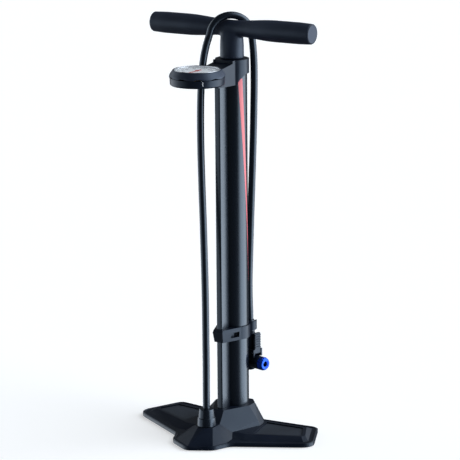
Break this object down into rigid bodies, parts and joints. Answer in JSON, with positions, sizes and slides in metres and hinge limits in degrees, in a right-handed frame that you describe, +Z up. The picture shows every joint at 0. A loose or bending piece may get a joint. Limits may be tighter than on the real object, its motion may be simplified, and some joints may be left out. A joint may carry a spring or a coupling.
{
  "type": "floor bike pump",
  "caption": "Floor bike pump with a T-handle, winged foot, extruded barrel with a front air channel, face-up gauge on an arm, and a hose with a clipped lever head.",
  "frame": {"origin": "on the floor, under the barrel's axis, at the face of the middle rubber foot", "axes": "+Z up along the barrel and the handle's travel; +X along the handle to its right end; -Y towards the gauge and the hose outlet"},
  "size_m": [0.283, 0.1663, 0.5944],
  "materials": {
    "moulded_plastic": "satin moulded black plastic with a fine grain",
    "pad_plastic": "matte textured dark grey plastic",
    "soft_rubber": "matte black rubber",
    "plain_plastic": "plain black plastic",
    "hose_rubber": "glossy black rubber",
    "barrel_aluminium": "satin black anodised, with one tapering red stripe",
    "steel": "plain steel",
    "silver_ring": "bright silver",
    "brass": "turned brass",
    "dial_white": "printed white",
    "needle_red": "red",
    "clear_glass": "clear",
    "blue_aluminium": "bright blue anodised"
  },
  "bodies": {
    "pump_body": {"foot_shell": "moulded_plastic", "foot_plate": "plain_plastic", "tread_pad_left": "pad_plastic", "tread_pad_right": "pad_plastic", "rubber_foot_left": "soft_rubber", "rubber_foot_right": "soft_rubber", "rubber_foot_front": "soft_rubber", "rubber_foot_middle": "soft_rubber", "plate_screw_1": "steel", "plate_screw_2": "steel", "barrel_bolt_1": "steel", "barrel_bolt_2": "steel", "barrel_tube": "barrel_aluminium", "end_plug": "brass", "plug_o_ring": "soft_rubber", "valve_spring": "steel", "air_pipe": "brass", "hose_boot": "hose_rubber", "hose": "hose_rubber", "top_collar": "moulded_plastic", "rod_bush": "plain_plastic", "gauge_cup": "moulded_plastic", "gauge_works": "brass", "gauge_dial": "dial_white", "gauge_lens": "clear_glass", "gauge_ring": "silver_ring", "band_clip": "moulded_plastic", "head_body": "moulded_plastic", "head_ferrule": "hose_rubber", "lever_pin": "steel", "head_gland": "soft_rubber"},
    "handle": {"handle_grip": "moulded_plastic", "grip_plug_left": "plain_plastic", "grip_plug_right": "plain_plastic", "handle_pin": "steel", "piston_rod": "steel", "piston_body": "moulded_plastic", "piston_seal": "soft_rubber", "piston_nut": "steel"},
    "needle": {"gauge_needle": "needle_red"},
    "bezel": {"gauge_bezel": "moulded_plastic"},
    "check_valve": {"valve_disc": "soft_rubber"},
    "lever": {"head_lever": "moulded_plastic"},
    "cap": {"head_cap": "blue_aluminium"}
  },
  "joints": [
    {"name": "handle_slide", "type": "slide", "parent": "pump_body", "child": "handle", "axis": [0, 0, 1], "range_m": [0, 0.42], "deforming": ["hose"]},
    {"name": "needle_turn", "type": "hinge", "parent": "pump_body", "child": "needle", "pos_m": [0, -0.088, 0.5261], "axis": [0, 0, -1], "range_deg": [0, 270]},
    {"name": "bezel_turn", "type": "hinge", "parent": "pump_body", "child": "bezel", "pos_m": [0, -0.088, 0.5237], "axis": [0, 0, 1], "continuous": true},
    {"name": "check_valve_lift", "type": "slide", "parent": "pump_body", "child": "check_valve", "axis": [0, 0, -1], "range_m": [0, 0.0018], "stiffness_N_per_m": 50, "springref_m": -0.002, "deforming": ["valve_spring"]},
    {"name": "head_lever_hinge", "type": "hinge", "parent": "pump_body", "child": "lever", "pos_m": [0.02003, 0.02724, 0.1055], "axis": [0.2079, 0.9781, 0], "range_deg": [0, 88]},
    {"name": "head_cap_screw", "type": "hinge", "parent": "pump_body", "child": "cap", "pos_m": [0.03148, 0.02481, 0.091], "axis": [0.9781, -0.2079, 0], "range_deg": [0, 330]}
  ]
}
